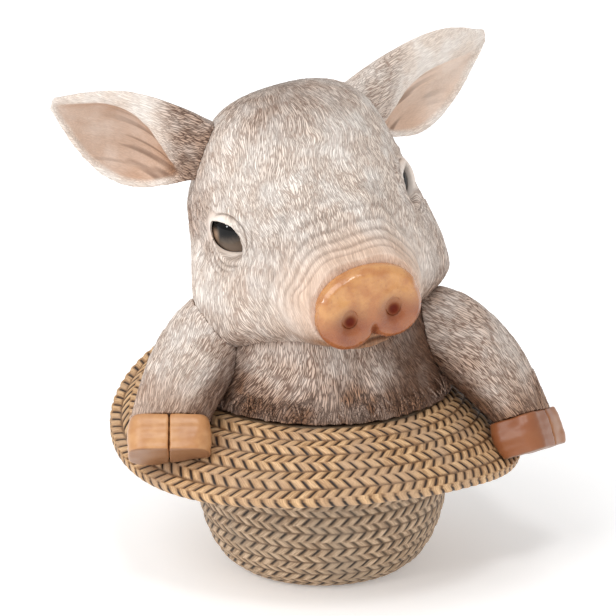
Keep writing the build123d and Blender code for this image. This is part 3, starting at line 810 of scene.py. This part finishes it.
def make_snout():
    """The snout pad, domed, with its nostrils and its cleft."""
    made = skin("pig_snout", ["snout_pad"], 0.35, 24)
    mesh = made.data
    points = read_points(mesh)
    side, front, up = in_head(points)
    face = step(1, 5, front - pad_back)
    on_face = front > 53
    from_middle = np.hypot(side / snout_half_width, (up + snout_down + 0.5) / snout_half_height)
    forward = 1.5 * np.clip(1 - from_middle ** 2, 0, 1) * face
    forward += (0.45 * noise(points, 7, 61) + 0.15 * noise(points, 3, 62)) * face
    pit = np.zeros(len(points))
    for centre in (-nostril_aside, nostril_aside):
        # The solid's straight hole is filled to the level round it, and a funnel is sunk instead.
        above = up + nostril_down
        away = np.hypot((side - centre) / nostril_half_width, above / nostril_half_height)
        rim = np.median(front[on_face * (away > 1.5) * (away < 1.9)])
        forward += np.where(on_face * (away < 1.5), rim - front, 0)
        funnel = np.hypot((side - centre) / nostril_half_height, (above + 1.6) / nostril_half_height)
        lip = 0.5 * bell(funnel - 1.8, 0.6)
        hole = 3.0 * bell(funnel, 0.8) + 2.6 * bell(funnel, 0.4)
        forward += (lip - hole) * face
        # Red round each nostril, darkest in its hole, where it is painted shade.
        pit = np.maximum(pit, 1 - 0.6 * step(0.25, 0.9, funnel) - 0.4 * step(0.5, 2.6, funnel))
    cleft = bell(side, 1.5) * step(-35, -41, up)
    forward -= 1.8 * cleft * face
    # Painted shade in the cleft.
    pit = np.maximum(pit, 0.6 * cleft)
    write_points(mesh, points + forward[:, None] * head_f)
    # rise is painted light: paler towards the top of the pad.
    store(mesh, pit=pit, rise=step(-44, -20, up))
    dress(made, snout_material())


def make_claw(name, toe, across, down, dark):
    """A claw, rounder than its solid, whose sole is browner and whose cleft is narrow."""
    made = skin("pig_" + name, [name], 0.4, 30)
    mesh = made.data
    points = read_points(mesh)
    normals = read_points(mesh, "normal")
    depth = points @ unit(down)
    rings = np.sin(depth * 1.5 + 1.2 * noise(points, 9, 71))
    shift = 0.06 * rings + 0.3 * noise(points, 6, 72)
    from_cleft = (points - toe) @ across
    inward = -0.36 * np.sign(from_cleft) * np.clip(1 - np.abs(from_cleft) / 3, 0, 1)
    write_points(mesh, points + normals * shift[:, None] + np.outer(inward, across))
    sole = 0.8 * step(0.35, 0.8, normals @ unit(down))
    # dark is painted shade: much more on the right foreleg's claws, away from the key light.
    store(mesh, sole=sole, wash=dark + 0.2 * step(0.1, 0.8, noise(points, 8, 73)))
    dress(made, horn)


def make_locks(name, roots, ways, outward, lengths, width):
    """Tapering locks of fur that lie along their ways, flat against the outward directions."""
    shares = np.array((0.0, 0.25, 0.5, 0.75, 1.0))
    thick = np.array((0.5, 1.0, 0.85, 0.5, 0.02))
    corner_count = 6
    points_each = len(shares) * corner_count
    corners = np.linspace(0, 2 * pi, corner_count, endpoint=False)
    across = unit(np.cross(ways, outward))
    points = []
    faces = []
    for index in range(len(roots)):
        for share, size in zip(shares, thick):
            middle = roots[index] + ways[index] * lengths[index] * share
            middle = middle + outward[index] * 0.8 * sin(pi * share)
            for corner in corners:
                wide = across[index] * cos(corner) * width * size
                points.append(middle + wide + outward[index] * sin(corner) * 0.35 * width * size)
        start = index * points_each
        for ring in range(len(shares) - 1):
            low = start + ring * corner_count
            high = low + corner_count
            for corner in range(corner_count):
                beside = (corner + 1) % corner_count
                faces.append((low + corner, low + beside, high + beside, high + corner))
        faces.append(tuple(start + corner for corner in range(corner_count)))
        faces.append(tuple(high + corner for corner in range(corner_count)))
    points = np.array(points)
    mesh = bpy.data.meshes.new(name)
    mesh.from_pydata((points * mm).tolist(), [], faces)
    shade_smooth(mesh)
    made = new_object(name, mesh)
    none = np.zeros(len(points))
    tips = np.tile(np.repeat(shares, corner_count), len(roots))
    lock = np.arange(len(points)) // points_each
    store(mesh, strokes=points * (1, 1, 0.25), bare=none, wash=none + 1, blush=none,
          crease=0.3 + 0.35 * (1 - tips) * (lock % 3 > 0))
    dress(made, fur)


def make_chest_locks():
    """The ragged edge of the chest's fur, lying over the root of the brim."""
    rng = np.random.default_rng(81)
    count = 190
    turn = np.radians(rng.uniform(-175, -5, count))
    lift = rng.uniform(0.5, 9.0, count)
    out = np.stack([np.cos(turn), np.sin(turn), 0 * turn], axis=-1)
    radius = 54.2 - 0.1 * lift
    level = np.stack([0 * turn, 0 * turn, 81.5 + lift], axis=-1)
    roots = out * radius[:, None] * (1.0, 0.985, 1) + level
    aside = np.stack([-np.sin(turn), np.cos(turn), 0 * turn], axis=-1)
    lean = rng.uniform(-0.7, 0.7, count)[:, None]
    ways = unit(out * 0.55 + aside * lean - np.array((0, 0, 0.85)))
    outward = unit(out * 0.85 + np.array((0, 0, 0.55)))
    lengths = 2.2 + lift * 0.8
    make_locks("pig_chest_locks", roots, ways, outward, lengths, 0.65)


def studio():
    """A pale floor, soft light and the photograph's camera."""
    g = Graph("pale_floor")
    grain = g.node("TexNoise", {"Vector": millimetres(g), "Scale": 0.02, "Detail": 2.0})
    colour = g.mix(grain, (0.96, 0.96, 0.96), (0.98, 0.98, 0.98))
    material = g.finish(Base_Color=colour, Roughness=0.9, Emission_Color=(1, 1, 1, 1),
                        Emission_Strength=0.24)
    mesh = bpy.data.meshes.new("floor")
    size = 20
    corners = [(-size, -size, 0), (size, -size, 0), (size, size, 0), (-size, size, 0)]
    mesh.from_pydata(corners, [], [(0, 1, 2, 3)])
    mesh.materials.append(material)
    new_object("floor", mesh)

    world = bpy.data.worlds.new("studio")
    bpy.context.scene.world = world
    world.use_nodes = True
    world.node_tree.nodes["Background"].inputs["Color"].default_value = (1, 1, 1, 1)
    world.node_tree.nodes["Background"].inputs["Strength"].default_value = 0.62

    def lamp(name, direction, strength, spread):
        """A far lamp that shines from that direction."""
        data = bpy.data.lights.new(name, "SUN")
        data.energy = strength
        data.angle = radians(spread)
        made = new_object(name, data)
        made.rotation_mode = "QUATERNION"
        made.rotation_quaternion = Vector(direction).to_track_quat("Z", "Y")

    lamp("key", (-0.75, -0.75, 1.1), 1.2, 40)
    lamp("spark", (-0.77, -0.58, 0.24), 0.3, 7)
    lamp("top", (0.05, -0.5, 0.9), 0.45, 12)

    data = bpy.data.cameras.new("camera")
    data.lens = 417.4
    data.sensor_width = 36
    data.clip_end = 100
    camera = new_object("camera", data)
    target = Vector((-5.9, 0, 112)) * mm
    lift = radians(20)
    camera_distance = 3.0
    away = Vector((0, -cos(lift), sin(lift)))
    camera.location = target + away * camera_distance
    camera.rotation_mode = "QUATERNION"
    camera.rotation_quaternion = away.to_track_quat("Z", "Y")
    bpy.context.scene.camera = camera
    bpy.context.scene.view_settings.view_transform = "Standard"


# The straw hat on its felt pad.
brim = make_brim()
crown = make_crown()
dress(brim, straw_material("painted_straw_brim", srgb(236, 196, 148), srgb(160, 118, 78),
                           srgb(34, 19, 9), srgb(190, 156, 124)))
dress(crown, straw_material("painted_straw_crown", srgb(226, 198, 166), srgb(146, 116, 86),
                            srgb(34, 22, 13), srgb(170, 148, 124)))
paint(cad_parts["felt_pad"], felt_material())

# The pig.
fur = fur_material()
make_head()
make_trunk()
make_leg(-1, "foreleg_left", (-33.3, 0, 105.8), (-63.4, -49, 80.2))
make_leg(1, "foreleg_right", (38.9, 0, 105.8), (84, -14.5, 69.4))
make_ear(-1, "ear_left", left_ear_direction)
make_ear(1, "ear_right", right_ear_direction)
make_snout()
horn = horn_material()
left_toe = (np.array((-63.4, -59.1, 67.8)), np.array((1.0, 0, 0)), (0.0, -0.63, -0.77))
right_toe = (np.array((88.5, -20.4, 55.2)), unit((0.395, 0.885, -0.241)), (0.28, -0.364, -0.879))
# The last number is the painted shade on each claw.
make_claw("left_inner_claw", *left_toe, 0.15)
make_claw("left_outer_claw", *left_toe, 0.05)
make_claw("right_inner_claw", *right_toe, 0.95)
make_claw("right_outer_claw", *right_toe, 0.7)
make_chest_locks()
for eye_name, gloss in (("eye_left", 0.5), ("eye_right", 0.12)):
    paint(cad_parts[eye_name], eye_material("glossy_" + eye_name, gloss))

studio()
